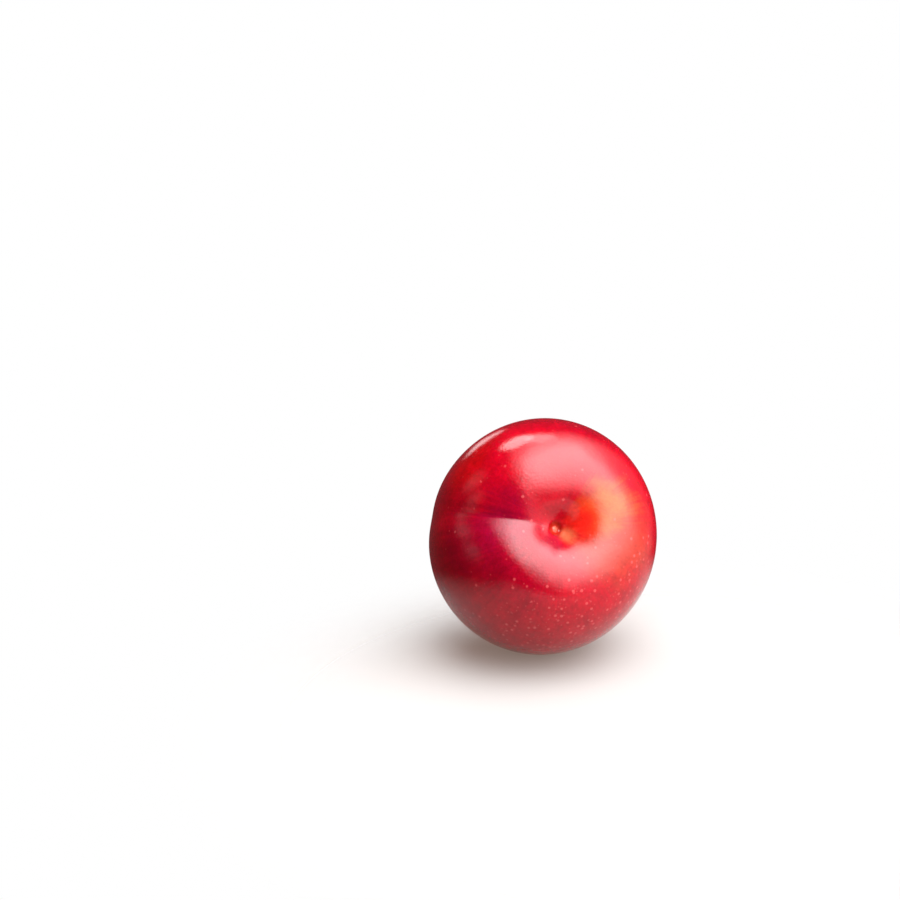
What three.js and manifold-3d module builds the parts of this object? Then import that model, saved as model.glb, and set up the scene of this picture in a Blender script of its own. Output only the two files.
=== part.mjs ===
// A ripe red plum, lying on its side with the stem end turned towards the front.
//
// Lengths are in millimetres and angles in degrees. +Z is up and the front is towards -Y. The origin
// is under the middle of the plum, on the surface that it rests on.
//
// The plum is first shaped upright, in the fruit's own axes: +Z leaves the middle of the stem end, +X
// goes out through the seam that runs down one side, and +Y crosses the seam. It is then laid down.

import * as THREE from "three";
import { mergeVertices } from "three/addons/utils/BufferGeometryUtils.js";
import Module from "manifold-3d";

// Plain body, before anything is pressed into it
const WIDTH_THROUGH_SEAM = 57.6;
const WIDTH_ACROSS_SEAM = 60.0;
const STEM_END_REACH = 28.4; // from the widest section to the undished stem end
const APEX_REACH = 28.6; // from the widest section to the apex
const FULLNESS = 2.26; // 2 gives ellipses, more gives squarer shoulders

// Hollows at the two ends: how deep, how wide, how steep, how far off the axis away from the seam,
// and how far off it across the seam. The stem scar is a sunk disc with a low nub in its middle.
const STEM_DISH = { depth: 5.2, radius: 13.8, steepness: 2, away: 4.1, aside: -1.2 };
const STEM_CUP = { depth: 5.8, radius: 5.0, steepness: 1.7, away: 1.5, aside: 0 };
const STEM_SCAR = { depth: 0.8, radius: 1.7, steepness: 6, away: 0, aside: 0 };
const SCAR_NUB = { depth: -0.5, radius: 0.55, steepness: 2, away: 0, aside: 0 };
const APEX_DIMPLE = { depth: 0.6, radius: 4.5, steepness: 2, away: 0, aside: 0 };
const STEM_END_HOLLOWS = [STEM_DISH, STEM_CUP, STEM_SCAR, SCAR_NUB];

// Seam: a fold over the shoulder that opens into a shallow groove down the side. Its angles are
// measured from the stem end.
const FOLD_DEPTH = 3.1;
const FOLD_MIDDLE = 34; // where the fold is deepest
const FOLD_LENGTH = 32;
const GROOVE_DEPTH = 0.5;
const SEAM_START = 10; // where the seam has its full depth
const OPEN_FROM = 20;
const OPEN_TO = 80; // where the fold has opened into the groove
const LOWER_WIDTH = 7.2;
const UPPER_WIDTH = 8.0;
const GROOVE_WIDTH = 5.0;
const FOLD_ROUNDING = 0.5; // radius in the bottom of the fold
const GROOVE_ROUNDING = 2.5; // radius in the bottom of the groove

// Low swelling beside the fold
const LIP_HEIGHT = 0.55;
const LIP_DISTANCE = 12.0;
const LIP_MIDDLE = 29;
const LIP_LENGTH = 13.5;

// How the plum lies, as turns about X and Z after it was shaped upright
const SEAM_ROLL = 13.8; // lifts the seam above the level
const LEAN = 64.4; // from upright to lying with the stem end to the front
const TURN = 11.4; // then towards +X
const REST_SPOT_DEPTH = 0.5; // how far the skin is flattened where it rests

// Rings and segments of the skin
const RINGS = 46;
const RING_CROWDING = 1.3; // above 1, rings are closer near the stem end
const SEGMENTS = 72;
const SEAM_CROWDING = 0.55; // above 0, segments are closer near the seam
const SCAR_RING_RADII = [0.7, 1, 1.3].map((share) => share * STEM_SCAR.radius);
const WELD_DISTANCE = 1e-3;
const TINY = 1e-6; // keeps a division on the stem axis from failing

const SKIN = { color: 0xb01226, roughness: 0.28, metalness: 0 };

const HALF_WIDTH = WIDTH_ACROSS_SEAM / 2;
const { degToRad, radToDeg, lerp, smoothstep } = THREE.MathUtils;

// Profile of the plain body from the stem end to the apex, as distance from the axis and height
function plainProfile() {
  const scarAngles = [SCAR_NUB.radius, ...SCAR_RING_RADII].map((radius) => radius / STEM_END_REACH);
  const first = scarAngles.at(-1);
  const bodyAngles = Array.from({ length: RINGS }, (_, ring) => {
    const share = ((ring + 1) / RINGS) ** RING_CROWDING;
    return first + share * (Math.PI - first);
  });
  return [0, ...scarAngles, ...bodyAngles].map((angle, index, all) => {
    const across = index === 0 || index === all.length - 1 ? 0 : Math.sin(angle);
    const along = Math.cos(angle);
    const reach = along > 0 ? STEM_END_REACH : APEX_REACH;
    const sum = (across / HALF_WIDTH) ** FULLNESS + (Math.abs(along) / reach) ** FULLNESS;
    const distance = sum ** (-1 / FULLNESS);
    return new THREE.Vector2(distance * across, distance * along);
  });
}

// How deep a hollow is under a point of the plain body, along the axis
function depthUnder(point, { depth, radius, steepness, away, aside }) {
  const distance = Math.hypot(point.x + away, point.y - aside);
  return depth * Math.exp(-((distance / radius) ** steepness));
}

// Share that swells and fades again along the seam, 1 at the middle
function swelling(fromStem, middle, length) {
  return Math.exp(-(((fromStem - middle) / length) ** 2));
}

// How far the skin stands out at a point near the seam: below zero in the groove, above zero on the
// lips beside it
function seamRelief(point) {
  const fromStem = radToDeg(Math.acos(point.z / point.length()));
  const side = smoothstep(point.x / Math.hypot(point.x, point.y, TINY), 0, 1);
  const begun = smoothstep(fromStem, 0, SEAM_START);
  const opening = smoothstep(fromStem, OPEN_FROM, OPEN_TO);
  const width = lerp(point.y > 0 ? LOWER_WIDTH : UPPER_WIDTH, GROOVE_WIDTH, opening);
  const rounding = lerp(FOLD_ROUNDING, GROOVE_ROUNDING, opening);
  const span = Math.hypot(point.y, rounding) - rounding;
  const full = FOLD_DEPTH * swelling(fromStem, FOLD_MIDDLE, FOLD_LENGTH) + GROOVE_DEPTH;
  const place = (point.y / LIP_DISTANCE) ** 2;
  const lip = LIP_HEIGHT * swelling(fromStem, LIP_MIDDLE, LIP_LENGTH) * place * Math.exp(1 - place);
  return side * begun * (lip - full * Math.exp(-span / width));
}

// Moves one vertex of the plain body to its place on the plum
function shapeVertex(point) {
  const turn = Math.atan2(point.y, point.x);
  const radius = Math.hypot(point.x, point.y);
  const crowded = turn - SEAM_CROWDING * Math.sin(turn);
  point.x = radius * Math.cos(crowded) * (WIDTH_THROUGH_SEAM / WIDTH_ACROSS_SEAM);
  point.y = radius * Math.sin(crowded);
  const atStem = point.z > 0;
  const hollows = atStem ? STEM_END_HOLLOWS : [APEX_DIMPLE];
  const sink = hollows.reduce((sum, hollow) => sum + depthUnder(point, hollow), 0);
  point.multiplyScalar(1 + seamRelief(point) / point.length());
  point.z -= atStem ? sink : -sink;
}

// Closed mesh with its shared vertices merged and its empty triangles left out
function weld(geometry) {
  const bare = new THREE.BufferGeometry();
  bare.setAttribute("position", geometry.getAttribute("position"));
  bare.setIndex(geometry.getIndex());
  const merged = mergeVertices(bare, WELD_DISTANCE);
  const corners = Array.from(merged.getIndex().array);
  const kept = [];
  for (let i = 0; i < corners.length; i += 3) {
    const [a, b, c] = corners.slice(i, i + 3);
    if (a !== b && b !== c && c !== a) kept.push(a, b, c);
  }
  merged.setIndex(kept);
  return merged;
}

function plumSkin() {
  const geometry = new THREE.LatheGeometry(plainProfile().reverse(), SEGMENTS);
  geometry.rotateX(Math.PI / 2);
  const position = geometry.getAttribute("position");
  const point = new THREE.Vector3();
  for (let i = 0; i < position.count; i += 1) {
    point.fromBufferAttribute(position, i);
    shapeVertex(point);
    position.setXYZ(i, point.x, point.y, point.z);
  }
  return weld(geometry);
}

function layDown(geometry) {
  geometry.rotateZ(degToRad(180 - SEAM_ROLL));
  geometry.rotateX(degToRad(LEAN));
  geometry.rotateZ(degToRad(TURN));
}

const wasm = await Module();
wasm.setup();

function toSolid(geometry) {
  return new wasm.Manifold(new wasm.Mesh({
    numProp: 3,
    vertProperties: Float32Array.from(geometry.getAttribute("position").array),
    triVerts: Uint32Array.from(geometry.getIndex().array),
  }));
}

function toGeometry(solid) {
  const mesh = solid.getMesh();
  const geometry = new THREE.BufferGeometry();
  geometry.setAttribute("position", new THREE.BufferAttribute(mesh.vertProperties, 3));
  geometry.setIndex(new THREE.BufferAttribute(mesh.triVerts, 1));
  return geometry;
}

// Takes a thin slice off the underside, which leaves the flat spot that the plum rests on
function flattenRestSpot(geometry) {
  geometry.computeBoundingBox();
  const { min } = geometry.boundingBox;
  const size = 2 * WIDTH_ACROSS_SEAM;
  const block = new THREE.BoxGeometry(size, size, size);
  block.translate(0, 0, min.z + REST_SPOT_DEPTH - size / 2);
  return toGeometry(toSolid(geometry).subtract(toSolid(weld(block))));
}

function buildPlum() {
  const skin = plumSkin();
  layDown(skin);
  const body = flattenRestSpot(skin);
  body.computeBoundingBox();
  const { min, max } = body.boundingBox;
  body.translate(-(min.x + max.x) / 2, -(min.y + max.y) / 2, -min.z);
  body.computeVertexNormals();
  const plum = new THREE.Mesh(body, new THREE.MeshStandardMaterial(SKIN));
  plum.name = "plum";
  return plum;
}

const model = new THREE.Group();
model.add(buildPlum());

export default model;
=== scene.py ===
import logging
import math
from dataclasses import dataclass, field
from enum import Enum
from typing import Any

import bmesh
import bpy
from mathutils import Matrix, Vector


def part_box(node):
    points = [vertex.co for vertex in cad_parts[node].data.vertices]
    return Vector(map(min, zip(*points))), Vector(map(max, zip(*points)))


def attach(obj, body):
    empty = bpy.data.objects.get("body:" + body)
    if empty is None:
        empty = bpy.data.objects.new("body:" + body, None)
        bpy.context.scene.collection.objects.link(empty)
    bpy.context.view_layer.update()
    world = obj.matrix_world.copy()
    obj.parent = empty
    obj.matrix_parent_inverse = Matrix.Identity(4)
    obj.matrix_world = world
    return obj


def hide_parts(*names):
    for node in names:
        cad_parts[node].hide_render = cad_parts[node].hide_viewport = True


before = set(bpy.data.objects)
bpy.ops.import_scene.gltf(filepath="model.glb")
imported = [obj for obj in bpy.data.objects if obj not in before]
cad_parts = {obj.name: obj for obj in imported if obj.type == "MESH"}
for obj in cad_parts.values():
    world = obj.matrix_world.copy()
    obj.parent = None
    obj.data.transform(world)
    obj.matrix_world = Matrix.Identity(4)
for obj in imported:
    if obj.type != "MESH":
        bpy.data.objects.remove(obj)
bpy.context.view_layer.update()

MM = 0.001
Colour = tuple[float, float, float, float]

log = logging.getLogger("plum_scene")


def smoothstep(value: float, low: float, high: float) -> float:
    """Rise smoothly from 0 to 1.

    Args:
        value: The number to place between the two ends.
        low: Where the rise starts.
        high: Where the rise ends.

    Returns:
        0 at or below low, 1 at or above high, and a smooth curve between them.
    """
    share = min(max((value - low) / (high - low), 0.0), 1.0)
    return share * share * (3.0 - 2.0 * share)


class FruitEnd(Enum):
    """One of the two ends of the fruit, as the sign of its height along the stem axis."""

    STEM = 1
    APEX = -1


@dataclass(frozen=True)
class Hollow:
    """A round hollow pressed into one end of the plum, in millimetres.

    Its middle lies off the stem axis by away, opposite the seam, and by aside, across the seam.
    """

    end: FruitEnd
    depth: float
    radius: float
    steepness: float = 2.0
    away: float = 0.0
    aside: float = 0.0

    def under(self, point: Vector) -> float:
        """Measure how deep the hollow is.

        Args:
            point: A point of the plain body, in the fruit's own axes.

        Returns:
            The depth along the stem axis at that point, 0 at the other end of the fruit.
        """
        if point.z * self.end.value <= 0.0:
            return 0.0
        distance = math.hypot(point.x + self.away, point.y - self.aside)
        return self.depth * math.exp(-((distance / self.radius) ** self.steepness))


@dataclass(frozen=True)
class Seam:
    """The fold over the shoulder, which opens into a shallow groove down one side.

    Lengths are in millimetres. The angles are measured from the stem end, in degrees.
    """

    fold_depth: float = 3.1
    fold_middle: float = 34.0
    fold_length: float = 32.0
    groove_depth: float = 0.5
    start: float = 10.0
    open_from: float = 20.0
    open_to: float = 80.0
    lower_width: float = 7.2
    upper_width: float = 8.0
    groove_width: float = 5.0
    fold_rounding: float = 0.5
    groove_rounding: float = 2.5
    lip_height: float = 0.55
    lip_distance: float = 12.0
    lip_middle: float = 29.0
    lip_length: float = 13.5

    def relief(self, point: Vector) -> float:
        """Measure how far the skin stands out beside the seam or sinks into it.

        Args:
            point: A point of the plain body, in the fruit's own axes.

        Returns:
            The distance outwards, below zero in the groove and above zero on the lips.
        """
        from_stem = math.degrees(math.acos(min(max(point.z / point.length, -1.0), 1.0)))
        side = smoothstep(point.x / math.hypot(point.x, point.y, 1e-6), 0.0, 1.0)
        begun = smoothstep(from_stem, 0.0, self.start)
        opening = smoothstep(from_stem, self.open_from, self.open_to)
        fold = math.exp(-(((from_stem - self.fold_middle) / self.fold_length) ** 2))
        width = self.lower_width if point.y > 0.0 else self.upper_width
        width += opening * (self.groove_width - width)
        rounding = self.fold_rounding + opening * (self.groove_rounding - self.fold_rounding)
        span = math.hypot(point.y, rounding) - rounding
        depth = (self.fold_depth * fold + self.groove_depth) * math.exp(-span / width)
        place = (point.y / self.lip_distance) ** 2
        swelling = math.exp(-(((from_stem - self.lip_middle) / self.lip_length) ** 2))
        lip = self.lip_height * swelling * place * math.exp(1.0 - place)
        return side * begun * (lip - depth)


@dataclass(frozen=True)
class PlumForm:
    """The shape of the plum, by the same measures as the solid that it replaces.

    Lengths are in millimetres and angles in degrees. In the fruit's own axes +Z leaves the middle
    of the stem end, +X goes out through the seam and +Y crosses the seam.
    """

    width_through_seam: float = 57.6
    width_across_seam: float = 60.0
    stem_end_reach: float = 28.4
    apex_reach: float = 28.6
    fullness: float = 2.26
    hollows: tuple[Hollow, ...] = (
        Hollow(FruitEnd.STEM, depth=5.2, radius=13.8, away=4.1, aside=-1.2),
        Hollow(FruitEnd.STEM, depth=5.8, radius=5.0, steepness=1.7, away=1.5),
        Hollow(FruitEnd.STEM, depth=0.8, radius=1.7, steepness=6.0),
        Hollow(FruitEnd.STEM, depth=-0.5, radius=0.55),
        Hollow(FruitEnd.APEX, depth=0.6, radius=4.5),
    )
    seam: Seam = Seam()
    seam_roll: float = 13.8
    lean: float = 64.4
    turn: float = 11.4
    rest_spot_depth: float = 0.5

    def point(self, from_stem: float, around: float) -> Vector:
        """Find a point of the skin.

        Args:
            from_stem: The angle from the stem end, in radians.
            around: The angle round the stem axis from the seam, in radians.

        Returns:
            The point in millimetres, in the fruit's own axes.
        """
        across, along = math.sin(from_stem), math.cos(from_stem)
        reach = self.stem_end_reach if along > 0.0 else self.apex_reach
        shares = (across * 2.0 / self.width_across_seam) ** self.fullness
        shares += (abs(along) / reach) ** self.fullness
        distance = shares ** (-1.0 / self.fullness)
        plain = Vector((math.cos(around) * across, math.sin(around) * across, along)) * distance
        plain.x *= self.width_through_seam / self.width_across_seam
        skin = plain * (1.0 + self.seam.relief(plain) / plain.length)
        skin.z -= sum(hollow.under(plain) * hollow.end.value for hollow in self.hollows)
        return skin

    def laid_down(self) -> Matrix:
        """Work out how the upright plum is laid down to rest.

        Returns:
            The turn from the fruit's own axes to the frame's.
        """
        roll = Matrix.Rotation(math.radians(180.0 - self.seam_roll), 3, "Z")
        lean = Matrix.Rotation(math.radians(self.lean), 3, "X")
        turn = Matrix.Rotation(math.radians(self.turn), 3, "Z")
        return turn @ lean @ roll


class Value:
    """A number socket of a node tree, on which sums are written as on a number."""

    def __init__(self, graph: "Graph", socket: bpy.types.NodeSocket) -> None:
        """Wrap a socket.

        Args:
            graph: The node tree that the socket is in.
            socket: The output socket.
        """
        self.graph = graph
        self.socket = socket

    def _math(self, operation: str, first: "Value | float", second: "Value | float") -> "Value":
        """Add a Math node.

        Args:
            operation: Blender's name for what the node does.
            first: The first number or Value.
            second: The second number or Value.

        Returns:
            The node's result.
        """
        inputs = {0: first, 1: second}
        return self.graph.node("ShaderNodeMath", {"operation": operation}, inputs)

    def __add__(self, other: "Value | float") -> "Value":
        """Return self + other."""
        return self._math("ADD", self, other)

    def __radd__(self, other: "Value | float") -> "Value":
        """Return other + self."""
        return self._math("ADD", other, self)

    def __sub__(self, other: "Value | float") -> "Value":
        """Return self - other."""
        return self._math("SUBTRACT", self, other)

    def __rsub__(self, other: "Value | float") -> "Value":
        """Return other - self."""
        return self._math("SUBTRACT", other, self)

    def __mul__(self, other: "Value | float") -> "Value":
        """Return self * other."""
        return self._math("MULTIPLY", self, other)

    def __rmul__(self, other: "Value | float") -> "Value":
        """Return other * self."""
        return self._math("MULTIPLY", other, self)

    def also(self, output: str) -> "Value":
        """Return another output of the node that this value comes from."""
        return Value(self.graph, self.socket.node.outputs[output])

    def ramp(self, low: float, high: float) -> "Value":
        """Rise smoothly from 0 to 1.

        Args:
            low: Where the rise starts.
            high: Where the rise ends. Below low, the result falls from 1 to 0 instead.

        Returns:
            The smooth share between the two ends.
        """
        settings = {"interpolation_type": "SMOOTHSTEP"}
        if high > low:
            inputs = {"Value": self, "From Min": low, "From Max": high}
            return self.graph.node("ShaderNodeMapRange", settings, inputs)
        inputs = {"Value": self, "From Min": high, "From Max": low}
        return 1.0 - self.graph.node("ShaderNodeMapRange", settings, inputs)


class Graph:
    """A node tree, built by calls that each add a node.

    The Mix node has a set of sockets for each kind of data. Mix inputs and mix result are the
    places of those for colours.
    """

    MIX_INPUTS = (0, 6, 7)
    MIX_RESULT = 2

    def __init__(self, owner: bpy.types.Material | bpy.types.World) -> None:
        """Empty the node tree of a material or a world.

        Args:
            owner: The material or world that the nodes are for.
        """
        owner.use_nodes = True
        self.owner = owner
        self.tree = owner.node_tree
        self.tree.nodes.clear()

    def _add(self, kind: str, settings: dict[str, Any],
             inputs: dict[str | int, Any]) -> bpy.types.Node:
        """Add a node of any type.

        Args:
            kind: Blender's name for the type of node.
            settings: The node's own settings, set before its sockets.
            inputs: A value, or a Value to link, for each socket by name or place.

        Returns:
            The node.
        """
        made = self.tree.nodes.new(kind)
        for name, setting in settings.items():
            setattr(made, name, setting)
        for place, value in inputs.items():
            if isinstance(value, Value):
                self.tree.links.new(value.socket, made.inputs[place])
            else:
                made.inputs[place].default_value = value
        return made

    def node(self, kind: str, settings: dict[str, Any], inputs: dict[str | int, Any],
             output: str | int = 0) -> Value:
        """Add a node and go on from one of its outputs.

        Args:
            kind: Blender's name for the type of node.
            settings: The node's own settings, set before its sockets.
            inputs: A value, or a Value to link, for each socket by name or place.
            output: The name or place of the socket to give back.

        Returns:
            The node's output socket, wrapped.
        """
        return Value(self, self._add(kind, settings, inputs).outputs[output])

    def mix(self, share: Value | float, first: Value | Colour, second: Value | Colour,
            blend: str = "MIX") -> Value:
        """Blend two colours.

        Args:
            share: How much of the second colour shows, from 0 to 1.
            first: The first colour or Value.
            second: The second colour or Value.
            blend: Blender's name for the way of blending.

        Returns:
            The blended colour.
        """
        settings = {"data_type": "RGBA", "blend_type": blend}
        inputs = dict(zip(self.MIX_INPUTS, (share, first, second)))
        return self.node("ShaderNodeMix", settings, inputs, self.MIX_RESULT)

    def vector(self, operation: str, first: Value | tuple,
               second: Value | tuple = (0.0, 0.0, 0.0), output: str = "Vector") -> Value:
        """Add a Vector Math node.

        Args:
            operation: Blender's name for what the node does.
            first: The first vector or Value.
            second: The second vector or Value.
            output: Vector, or Value for a result that is a number.

        Returns:
            The node's result.
        """
        settings = {"operation": operation}
        return self.node("ShaderNodeVectorMath", settings, {0: first, 1: second}, output)

    def angle(self, direction: Value, towards: Vector) -> Value:
        """Measure the angle between two directions.

        Args:
            direction: The direction that varies, of length 1.
            towards: The fixed direction.

        Returns:
            The angle in degrees.
        """
        cosine = self.vector("DOT_PRODUCT", direction, tuple(towards.normalized()), "Value")
        radians = self.node("ShaderNodeMath", {"operation": "ARCCOSINE"}, {0: cosine})
        return radians * math.degrees(1.0)

    def noise(self, place: Value, size: float, detail: float = 2.0) -> Value:
        """Add cloudy noise.

        Args:
            place: Where the noise is read, in millimetres.
            size: The rough size of its blotches, in millimetres.
            detail: How many finer layers it has.

        Returns:
            The noise, from 0 to 1 about a half.
        """
        inputs = {"Vector": place, "Scale": 1.0 / size, "Detail": detail}
        return self.node("ShaderNodeTexNoise", {"noise_dimensions": "3D"}, inputs)

    def finish(self, shader: Value) -> bpy.types.Material | bpy.types.World:
        """Send a shader to the output.

        Args:
            shader: The finished shader.

        Returns:
            The material or world that the nodes are for.
        """
        worldly = isinstance(self.owner, bpy.types.World)
        kind = "ShaderNodeOutputWorld" if worldly else "ShaderNodeOutputMaterial"
        self._add(kind, {}, {"Surface": shader})
        return self.owner


def fruit_direction(from_stem: float, around: float) -> Vector:
    """Find a direction in the fruit's own axes.

    Args:
        from_stem: The angle from the stem end, in degrees.
        around: The angle round the stem axis from the seam, in degrees.

    Returns:
        The direction, of length 1.
    """
    tilt, turn = math.radians(from_stem), math.radians(around)
    across = math.sin(tilt)
    return Vector((across * math.cos(turn), across * math.sin(turn), math.cos(tilt)))


@dataclass(frozen=True)
class SkinPlace:
    """What the skin's finishes read: where a point of the skin is, in the fruit's own axes.

    Lengths are in millimetres. Cloud is slow noise and streak is noise drawn out from end to end
    of the fruit, both about 0 and from -1 to 1.
    """

    graph: Graph
    point: Value
    direction: Value
    from_axis: Value
    height: Value
    cloud: Value
    streak: Value


@dataclass(frozen=True)
class BlushAndShadePatch:
    """A ragged, soft-edged patch of colour on the skin. Some patches are blushes of the skin, and
    some are painted shade.

    The angles are in degrees. Middle is the angle from the stem end and the one round from the
    seam. The patch fades between the two angles from there that fade gives. Ragged is how far
    its edge strays with the noise, and streaked is the share of the streaks in that.
    """

    colour: Colour
    middle: tuple[float, float]
    fade: tuple[float, float]
    strength: float = 1.0
    ragged: float = 12.0
    streaked: float = 0.4

    def share(self, place: SkinPlace) -> Value:
        """Add the nodes that say how strongly the patch shows.

        Args:
            place: Where on the skin.

        Returns:
            The share of the patch's colour, from 0 to 1.
        """
        inner, outer = self.fade
        stray = (place.cloud + place.streak * self.streaked) * self.ragged
        angle = place.graph.angle(place.direction, fruit_direction(*self.middle)) + stray
        return angle.ramp(outer, inner) * self.strength

    def over(self, colour: Value | Colour, place: SkinPlace) -> Value:
        """Add the nodes that lay the patch over a colour."""
        return place.graph.mix(self.share(place), colour, self.colour)


@dataclass(frozen=True)
class Freckles:
    """Pale dots scattered through the skin.

    The spacing is that of the cells that each hold one dot in space, so only some dots reach the
    skin, and their sizes vary. Core is the share of the radius that is in full colour. Crowded
    and sparse are the shares of the cells that have a dot, on the cheek and far from it. The
    cheek's middle and fade are angles like those of a blush. Draw edge is how softly a cell's
    lot decides whether it has a dot.
    """

    colour: Colour
    spacing: float
    radius: float
    strength: float
    crowded: float
    sparse: float
    core: float = 0.3
    cheek: tuple[float, float] = (80.0, 118.0)
    cheek_fade: tuple[float, float] = (30.0, 80.0)
    draw_edge: float = 0.05

    def share(self, place: SkinPlace) -> Value:
        """Add the nodes that say where the dots show.

        Args:
            place: Where on the skin.

        Returns:
            The share of the dots' colour, from 0 to 1.
        """
        graph = place.graph
        inputs = {"Vector": place.point, "Scale": 1.0 / self.spacing}
        cells = graph.node("ShaderNodeTexVoronoi", {"feature": "F1"}, inputs, "Distance")
        dots = (cells * self.spacing).ramp(self.radius, self.radius * self.core)
        inner, outer = self.cheek_fade
        near = graph.angle(place.direction, fruit_direction(*self.cheek)).ramp(outer, inner)
        filled = near * (self.crowded - self.sparse) + self.sparse
        drawn = graph.vector("DOT_PRODUCT", cells.also("Color"), (1.0, 0.0, 0.0), "Value")
        return dots * (filled - drawn).ramp(0.0, self.draw_edge) * self.strength


@dataclass(frozen=True)
class ScarFinish:
    """The corky scar of the stem, with a paler middle, and the pinprick of one at the apex.

    Lengths are in millimetres. Each part ends at its radius, and its firm share of the radius is
    in full colour. The rims stray by half of ragged at most, with noise of the grain's size. End
    height is where along the stem axis, either way, the scars are at full strength.
    """

    cork: Colour = (0.26, 0.009, 0.004, 1.0)
    middle: Colour = (0.42, 0.090, 0.055, 1.0)
    radius: float = 1.9
    firm: float = 0.8
    middle_radius: float = 1.0
    middle_firm: float = 0.4
    pinprick_radius: float = 0.6
    ragged: float = 0.5
    grain: float = 0.5
    end_height: float = 5.0

    def over(self, colour: Value, place: SkinPlace) -> Value:
        """Add the nodes that lay the two scars over a colour.

        Args:
            colour: The colour of the skin.
            place: Where on the skin.

        Returns:
            The colour with the scars.
        """
        graph = place.graph
        reach = place.from_axis + (graph.noise(place.point, self.grain) - 0.5) * self.ragged
        at_stem = place.height.ramp(0.0, self.end_height)
        at_apex = place.height.ramp(0.0, -self.end_height)
        scar = reach.ramp(self.radius, self.radius * self.firm) * at_stem
        middle = reach.ramp(self.middle_radius, self.middle_radius * self.middle_firm) * at_stem
        pinprick = reach.ramp(self.pinprick_radius, 0.0) * at_apex
        colour = graph.mix(scar, colour, self.cork)
        colour = graph.mix(middle, colour, self.middle)
        return graph.mix(pinprick, colour, self.cork)


@dataclass(frozen=True)
class SkinRelief:
    """The fine unevenness of the skin: waves, grain and raised dots, in millimetres."""

    wave: float = 0.12
    wave_size: float = 5.0
    grain: float = 0.035
    grain_size: float = 0.6
    dot: float = 0.04

    def normal(self, place: SkinPlace, dots: Value) -> Value:
        """Add the nodes that bend the skin's normal.

        Args:
            place: Where on the skin.
            dots: The share of the pale dots there.

        Returns:
            The normal.
        """
        graph = place.graph
        waves = graph.noise(place.point, self.wave_size, detail=1.0) * self.wave
        grain = graph.noise(place.point, self.grain_size) * self.grain
        height = waves + grain + dots * self.dot
        inputs = {"Strength": 1.0, "Distance": MM, "Height": height}
        return graph.node("ShaderNodeBump", {}, inputs)


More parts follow.
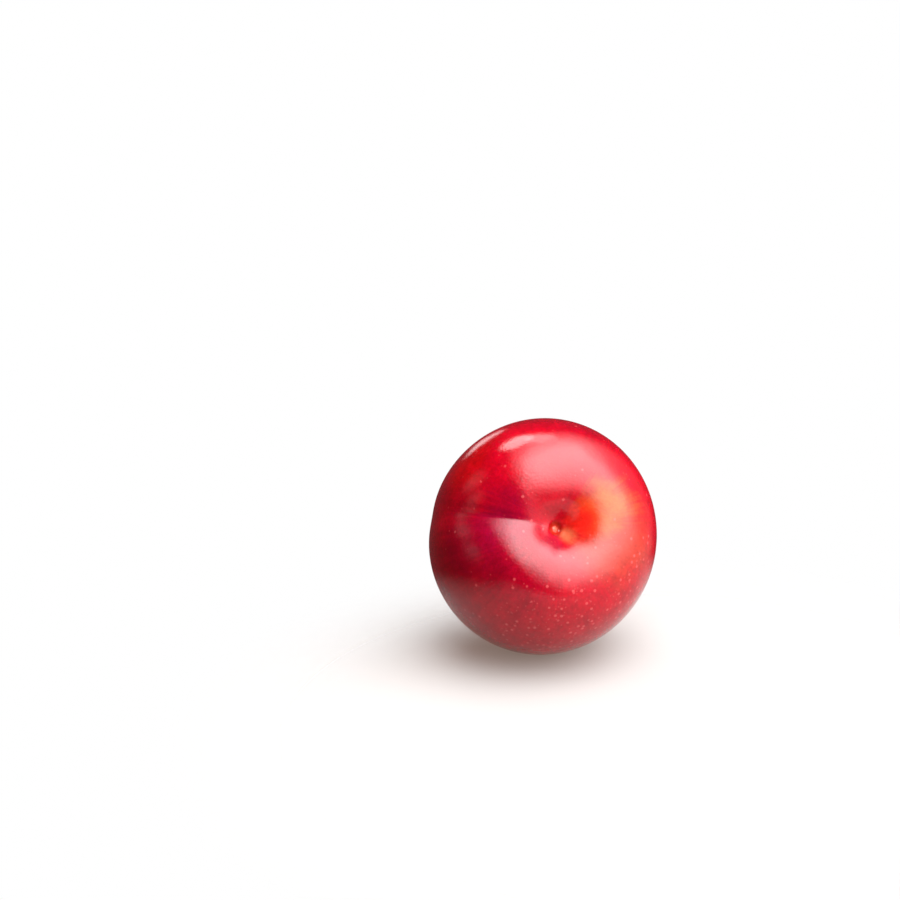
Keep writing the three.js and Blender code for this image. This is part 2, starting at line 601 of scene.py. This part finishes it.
@dataclass(frozen=True)
class PlumSkin:
    """The finish of a ripe red plum: waxy skin, blushes, painted shade, pale dots and the stem
    scar.

    Colours are linear, and each blush or patch of painted shade lies over those before it. Mottle
    and streaks say how much the skin's shade varies. Sizes are in millimetres. The streaks' noise
    is read on a drum: its radius is streak turn, and its height is streak rise for each
    millimetre of the fruit's.
    Flesh is the share of the light that passes under the skin, with its scale in metres.
    """

    crimson: Colour = (0.252, 0.0003, 0.0058, 1.0)
    blushes_and_painted_shade: tuple[BlushAndShadePatch, ...] = (
        # Deep red on the seam's side of the fruit: skin that is darker there, with painted shade
        # over it.
        BlushAndShadePatch((0.140, 0.0002, 0.0060, 1.0), (54.0, 20.0), (6.0, 28.0), 0.85),
        # Painted shade: deep red over the top of the fruit as it lies.
        BlushAndShadePatch((0.130, 0.0003, 0.0050, 1.0), (88.0, -95.0), (20.0, 50.0), 0.8),
        # A clear red above the seam, and deep reds along the seam by the scar and on the near
        # wall of the dish.
        BlushAndShadePatch((0.250, 0.0005, 0.0010, 1.0), (68.0, -30.0), (6.0, 22.0), 0.8),
        BlushAndShadePatch((0.140, 0.0006, 0.0130, 1.0), (30.0, 12.0), (8.0, 26.0), 0.85),
        BlushAndShadePatch((0.170, 0.0003, 0.0070, 1.0), (32.0, 62.0), (8.0, 28.0), 0.8),
        # Orange and ochre on the shoulder away from the seam, and scarlet down into the cup.
        BlushAndShadePatch((0.250, 0.0180, 0.0080, 1.0), (34.0, 178.0), (8.0, 30.0), 0.9),
        BlushAndShadePatch((0.250, 0.0620, 0.0080, 1.0), (32.0, -148.0), (4.0, 20.0), 0.9),
        BlushAndShadePatch((0.420, 0.0350, 0.0080, 1.0), (20.0, -148.0), (4.0, 13.0), 0.8, ragged=5.0),
        BlushAndShadePatch((0.500, 0.0100, 0.0060, 1.0), (15.0, -155.0), (4.0, 13.0), 0.95, ragged=5.0),
        # Painted shade in dusky mauve red on the lower wall of the cup beside the scar, then
        # ochre beside the scar.
        # Painted shade: the dark wedge on the cup's lower wall.
        BlushAndShadePatch((0.170, 0.0040, 0.0140, 1.0), (12.0, 85.0), (3.0, 10.0), 0.8, ragged=4.0),
        BlushAndShadePatch((0.340, 0.0700, 0.0280, 1.0), (10.0, 165.0), (2.0, 8.5), 0.85, ragged=4.0),
    )
    scar: ScarFinish = ScarFinish()
    freckles: tuple[Freckles, ...] = (
        Freckles((0.50, 0.080, 0.080, 1.0), spacing=1.7, radius=0.55, strength=0.38,
                 crowded=0.80, sparse=0.07),
        Freckles((0.40, 0.045, 0.045, 1.0), spacing=0.9, radius=0.32, strength=0.28,
                 crowded=0.55, sparse=0.07),
    )
    relief: SkinRelief = SkinRelief()
    cloud_size: float = 9.0
    streak_size: float = 1.2
    streak_turn: float = 30.0
    streak_rise: float = 0.1
    speckle_size: float = 0.9
    blotch_size: float = 3.5
    mottle: float = 0.6
    streaks: float = 0.18
    roughness: float = 0.145
    dot_roughness: float = 0.15
    refraction: float = 1.38
    flesh: float = 0.15
    flesh_radius: tuple[float, float, float] = (1.0, 0.12, 0.08)
    flesh_scale: float = 0.002

    def _place(self, graph: Graph, centre: Vector, laid_down: Matrix) -> SkinPlace:
        """Add the nodes that turn a point of the object into the fruit's own axes.

        Args:
            graph: The material's node tree.
            centre: The middle of the fruit in the frame, in metres.
            laid_down: The turn from the fruit's own axes to the frame's.

        Returns:
            What the finishes read.
        """
        upright = laid_down.transposed()
        point = graph.node("ShaderNodeMapping", {"vector_type": "POINT"}, {
            "Vector": graph.node("ShaderNodeTexCoord", {}, {}, "Object"),
            "Location": tuple(upright @ centre / -MM),
            "Rotation": tuple(upright.to_euler()),
            "Scale": (1.0 / MM,) * 3,
        })
        level = graph.vector("MULTIPLY", point, (1.0, 1.0, 0.0))
        turn = (self.streak_turn, self.streak_turn, 0.0)
        ring = graph.vector("MULTIPLY", graph.vector("NORMALIZE", level), turn)
        rise = graph.vector("MULTIPLY", point, (0.0, 0.0, self.streak_rise))
        drawn_out = graph.vector("ADD", ring, rise)
        return SkinPlace(
            graph=graph,
            point=point,
            direction=graph.vector("NORMALIZE", point),
            from_axis=graph.vector("LENGTH", level, output="Value"),
            height=graph.vector("DOT_PRODUCT", point, (0.0, 0.0, 1.0), "Value"),
            cloud=graph.noise(point, self.cloud_size, detail=4.0) * 2.0 - 1.0,
            streak=graph.noise(drawn_out, self.streak_size, detail=3.0) * 2.0 - 1.0,
        )

    def build(self, centre: Vector, laid_down: Matrix) -> bpy.types.Material:
        """Build the material.

        Args:
            centre: The middle of the fruit in the frame, in metres.
            laid_down: The turn from the fruit's own axes to the frame's.

        Returns:
            The skin's material.
        """
        graph = Graph(bpy.data.materials.new("plum_skin"))
        place = self._place(graph, centre, laid_down)
        colour = self.crimson
        for skin_patch in self.blushes_and_painted_shade:
            colour = skin_patch.over(colour, place)
        speckle = graph.noise(place.point, self.speckle_size, detail=3.0) - 0.5
        blotch = graph.noise(place.point, self.blotch_size, detail=3.0) - 0.5
        shade = (speckle + blotch) * self.mottle + place.streak * self.streaks + 1.0
        colour = graph.mix(1.0, colour, shade, "MULTIPLY")
        dots = 0.0
        for freckles in self.freckles:
            share = freckles.share(place)
            colour = graph.mix(share, colour, freckles.colour)
            dots = share + dots
        colour = self.scar.over(colour, place)
        shader = graph.node("ShaderNodeBsdfPrincipled", {}, {
            "Base Color": colour,
            "Roughness": dots * self.dot_roughness + self.roughness,
            "IOR": self.refraction,
            "Subsurface Weight": self.flesh,
            "Subsurface Radius": self.flesh_radius,
            "Subsurface Scale": self.flesh_scale,
            "Normal": self.relief.normal(place, dots),
        }, "BSDF")
        return graph.finish(shader)


def add_object(name: str, mesh: bmesh.types.BMesh,
               material: bpy.types.Material) -> bpy.types.Object:
    """Put a finished shape into the scene.

    Args:
        name: What the object is called.
        mesh: The shape, in place in the frame. It is freed.
        material: The material of the whole shape.

    Returns:
        The object, at the origin.
    """
    data = bpy.data.meshes.new(name)
    mesh.to_mesh(data)
    mesh.free()
    data.materials.append(material)
    made = bpy.data.objects.new(name, data)
    bpy.context.scene.collection.objects.link(made)
    return made


@dataclass
class Plum:
    """The whole fruit as one closed fine mesh.

    Seam and stem crowding draw its faces towards the seam and the stem end. Middle is where the
    middle of the fruit is in the frame once it is built. Cut snap is in metres.
    """

    form: PlumForm = field(default_factory=PlumForm)
    skin: PlumSkin = field(default_factory=PlumSkin)
    segments: int = 320
    rings: int = 210
    seam_crowding: float = 0.55
    stem_crowding: float = 1.3
    cut_snap: float = 1e-7
    middle: Vector = field(default_factory=Vector, init=False)

    def _press_into_shape(self, mesh: bmesh.types.BMesh) -> None:
        """Move the vertices of a unit sphere onto the skin of the upright plum.

        Args:
            mesh: The sphere, about the Z axis.
        """
        for vertex in mesh.verts:
            from_pole = math.acos(min(max(vertex.co.z, -1.0), 1.0)) / math.pi
            turn = math.atan2(vertex.co.y, vertex.co.x)
            from_stem = math.pi * from_pole ** self.stem_crowding
            around = turn - self.seam_crowding * math.sin(turn)
            vertex.co = self.form.point(from_stem, around) * MM

    def _flatten_rest_spot(self, mesh: bmesh.types.BMesh) -> None:
        """Cut the thin slice off the underside that leaves the spot the plum rests on.

        Args:
            mesh: The plum as it lies.
        """
        level = min(vertex.co.z for vertex in mesh.verts) + self.form.rest_spot_depth * MM
        everything = mesh.verts[:] + mesh.edges[:] + mesh.faces[:]
        cut = bmesh.ops.bisect_plane(mesh, geom=everything, dist=self.cut_snap,
                                     plane_co=(0, 0, level), plane_no=(0, 0, -1),
                                     clear_outer=True)
        rim = [part for part in cut["geom_cut"] if isinstance(part, bmesh.types.BMEdge)]
        bmesh.ops.edgeloop_fill(mesh, edges=rim)

    def _set_in_place(self, mesh: bmesh.types.BMesh) -> None:
        """Stand the mesh in the box of the CAD solid, and note where the fruit's middle went.

        Args:
            mesh: The plum as it lies.
        """
        low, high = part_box("plum")
        own_low = Vector([min(vertex.co[i] for vertex in mesh.verts) for i in range(3)])
        own_high = Vector([max(vertex.co[i] for vertex in mesh.verts) for i in range(3)])
        scale = min((high - low)[i] / (own_high - own_low)[i] for i in range(3))
        bmesh.ops.scale(mesh, vec=(scale,) * 3, verts=mesh.verts)
        shift = (low + high) / 2.0 - (own_low + own_high) / 2.0 * scale
        shift.z = low.z - own_low.z * scale
        bmesh.ops.translate(mesh, vec=shift, verts=mesh.verts)
        self.middle = shift

    def build(self) -> bpy.types.Object:
        """Model the plum and dress it.

        Returns:
            The finished object, at the origin.
        """
        mesh = bmesh.new()
        bmesh.ops.create_uvsphere(mesh, u_segments=self.segments, v_segments=self.rings,
                                  radius=1.0)
        self._press_into_shape(mesh)
        turn = self.form.laid_down()
        bmesh.ops.rotate(mesh, cent=(0, 0, 0), matrix=turn, verts=mesh.verts)
        self._flatten_rest_spot(mesh)
        self._set_in_place(mesh)
        bmesh.ops.recalc_face_normals(mesh, faces=mesh.faces)
        for face in mesh.faces:
            face.smooth = True
        fruit = add_object("plum_fruit", mesh, self.skin.build(self.middle, turn))
        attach(fruit, "root")
        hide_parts("plum")
        return fruit


@dataclass(frozen=True)
class StudioFloor:
    """The round pale board that the plum rests on, with a faint warm glow that is painted light:
    it lifts and warms the plum's shadow.

    Lengths are in metres. The board hides the backdrop by cover as far as the solid radius, and
    fades from there outwards.
    """

    solid: float = 0.064
    radius: float = 0.120
    segments: int = 128
    cover: float = 0.985
    middle: Vector = Vector((0.028, -0.052, 0.0))
    colour: Colour = (0.213, 0.216, 0.216, 1.0)
    # Painted light: a faint warm glow that lifts and warms the plum's shadow on the board.
    painted_glow: Colour = (0.18, 0.135, 0.110, 1.0)
    roughness: float = 0.6

    def build(self) -> bpy.types.Object:
        """Lay the board.

        Returns:
            The board.
        """
        mesh = bmesh.new()
        bmesh.ops.create_circle(mesh, cap_ends=True, segments=self.segments, radius=self.radius)
        bmesh.ops.translate(mesh, vec=self.middle, verts=mesh.verts)
        graph = Graph(bpy.data.materials.new("pale_floor"))
        place = graph.node("ShaderNodeTexCoord", {}, {}, "Object")
        reach = graph.vector("DISTANCE", place, tuple(self.middle), "Value")
        shader = graph.node("ShaderNodeBsdfPrincipled", {}, {
            "Base Color": self.colour,
            "Roughness": self.roughness,
            "Alpha": reach.ramp(self.radius, self.solid) * self.cover,
            # Painted light: the board's glow lifts and warms the shadow under the plum.
            "Emission Color": self.painted_glow,
            "Emission Strength": 1.0,
        }, "BSDF")
        floor = add_object("floor", mesh, graph.finish(shader))
        return floor


def heading(azimuth: float, elevation: float) -> Vector:
    """Find a direction by its angles.

    Args:
        azimuth: The angle from the front towards the right, in degrees.
        elevation: The angle above the level, in degrees.

    Returns:
        The direction, of length 1.
    """
    turn, lift = math.radians(azimuth), math.radians(elevation)
    level = math.cos(lift)
    return Vector((level * math.sin(turn), -level * math.cos(turn), math.sin(lift)))


@dataclass(frozen=True)
class ScrimFade:
    """A straight fade across the scrim: from a share left at its far side to full light.

    The direction square to it points into the scrim. The fade runs between two cosines of the
    angle to that direction.
    """

    inward: Vector
    low: float
    high: float
    left: float = 0.0

    def share(self, graph: Graph, way: Value) -> Value:
        """Add the nodes of the fade.

        Args:
            graph: The world's node tree.
            way: The direction looked in.

        Returns:
            The share of light that the fade lets through.
        """
        cosine = graph.vector("DOT_PRODUCT", way, tuple(self.inward), "Value")
        return cosine.ramp(self.low, self.high) * (1.0 - self.left) + self.left


@dataclass(frozen=True)
class LightPatch:
    """A round patch of added light, with a soft rim given as two angles in degrees."""

    towards: Vector
    inner: float
    outer: float
    level: float

    def light(self, graph: Graph, way: Value) -> Value:
        """Add the nodes of the patch.

        Args:
            graph: The world's node tree.
            way: The direction looked in.

        Returns:
            The light that the patch adds.
        """
        return graph.angle(way, self.towards).ramp(self.outer, self.inner) * self.level


@dataclass(frozen=True)
class LightTent:
    """The soft light all round: a broad white scrim overhead, to the right and to the front.

    Light levels are in units of the backdrop's white. Room is the dim light from everywhere, and
    the fades all shade the scrim. The patches show in the gloss of the skin but throw no shadow.
    For matt surfaces, forward weights the scrim towards the front, and forward gain makes up
    for the light that this takes.
    """

    room: Colour = (0.19, 0.045, 0.05, 1.0)
    scrim: float = 12.0
    fades: tuple[ScrimFade, ...] = (
        ScrimFade(heading(96.2, 32.4), low=0.0, high=0.58),
        ScrimFade(heading(26.6, 5.6), low=-0.58, high=0.28),
        ScrimFade(heading(-63.4, -19.8), low=-1.03, high=-0.73, left=0.15),
        ScrimFade(heading(0.0, 90.0), low=-0.15, high=0.96, left=0.12),
    )
    patches: tuple[LightPatch, ...] = (
        LightPatch(heading(-151.0, 54.0), inner=8.0, outer=13.0, level=9.5),
        LightPatch(heading(-176.0, 60.0), inner=7.0, outer=13.0, level=5.0),
        LightPatch(heading(-161.0, 8.0), inner=5.0, outer=8.0, level=2.1),
        LightPatch(heading(-96.0, 26.0), inner=0.0, outer=19.0, level=0.8),
        LightPatch(heading(-72.0, 10.0), inner=0.0, outer=18.0, level=0.7),
    )
    forward: ScrimFade = ScrimFade(heading(15.0, 20.0), low=-0.5, high=0.8, left=0.3)
    forward_gain: float = 1.45
    white: Colour = (1.0, 1.0, 1.0, 1.0)

    def build(self) -> bpy.types.World:
        """Light the studio.

        Returns:
            The world, which is also the scene's.
        """
        graph = Graph(bpy.data.worlds.new("light_tent"))
        way = graph.node("ShaderNodeTexCoord", {}, {}, "Generated")
        ray = graph.node("ShaderNodeLightPath", {}, {}, "Is Glossy Ray")
        gloss = ray * sum(patch.light(graph, way) for patch in self.patches)
        scrim = self.scrim
        for fade in self.fades:
            scrim = fade.share(graph, way) * scrim
        weight = self.forward.share(graph, way) * self.forward_gain
        scrim = scrim * (ray.also("Is Diffuse Ray") * (weight - 1.0) + 1.0)
        kind = "ShaderNodeBackground"
        lit = graph.node(kind, {}, {"Color": self.white, "Strength": scrim + gloss})
        room = graph.node(kind, {}, {"Color": self.room, "Strength": 1.0})
        light = graph.node("ShaderNodeAddShader", {}, {0: lit, 1: room})
        backdrop = graph.node(kind, {}, {"Color": self.white, "Strength": 1.0})
        inputs = {0: ray.also("Is Camera Ray"), 1: light, 2: backdrop}
        world = graph.finish(graph.node("ShaderNodeMixShader", {}, inputs))
        bpy.context.scene.world = world
        return world


@dataclass(frozen=True)
class PhotoCamera:
    """The camera of the photograph.

    The elevation is in degrees and the distance in metres, both of the line to the plum's middle.
    The place is where that middle shows, in pixels of the square picture. The lens and the sensor
    are in millimetres, and near, where the view begins, is in metres.
    """

    elevation: float = 20.0
    distance: float = 0.636
    lens: float = 100.0
    sensor: float = 36.0
    picture: float = 900.0
    place: tuple[float, float] = (543.1, 535.3)
    near: float = 0.01

    def build(self, centre: Vector) -> bpy.types.Object:
        """Set the camera up.

        Args:
            centre: The middle of the plum.

        Returns:
            The camera, which is also the scene's.
        """
        tilt = math.radians(self.elevation)
        sight = Vector((0.0, math.cos(tilt), -math.sin(tilt)))
        right = Vector((1.0, 0.0, 0.0))
        up = right.cross(sight)
        pixel = self.sensor / self.lens / self.picture
        aside, below = ((place - self.picture / 2.0) * pixel for place in self.place)
        aim = sight - right * aside + up * below
        data = bpy.data.cameras.new("camera")
        data.lens = self.lens
        data.sensor_width = self.sensor
        data.clip_start = self.near
        camera = bpy.data.objects.new("camera", data)
        camera.location = centre - sight * self.distance
        camera.rotation_mode = "QUATERNION"
        camera.rotation_quaternion = aim.to_track_quat("-Z", "Y")
        bpy.context.scene.collection.objects.link(camera)
        bpy.context.scene.camera = camera
        return camera


@dataclass
class Studio:
    """The floor, the light and the camera."""

    floor: StudioFloor = field(default_factory=StudioFloor)
    tent: LightTent = field(default_factory=LightTent)
    camera: PhotoCamera = field(default_factory=PhotoCamera)

    def build(self, centre: Vector) -> None:
        """Set the studio up around the plum.

        Args:
            centre: The middle of the plum.
        """
        self.floor.build()
        self.tent.build()
        self.camera.build(centre)
        bpy.context.scene.view_settings.view_transform = "Standard"


def main() -> None:
    """Build the plum and the studio, and report each piece."""
    logging.basicConfig(level=logging.INFO, format="%(name)s: %(message)s")
    plum = Plum()
    fruit = plum.build()
    log.info("%s: %d faces", fruit.name, len(fruit.data.polygons))
    Studio().build(plum.middle)
    log.info("studio: floor, lights and camera")


if __name__ == "__main__":
    main()
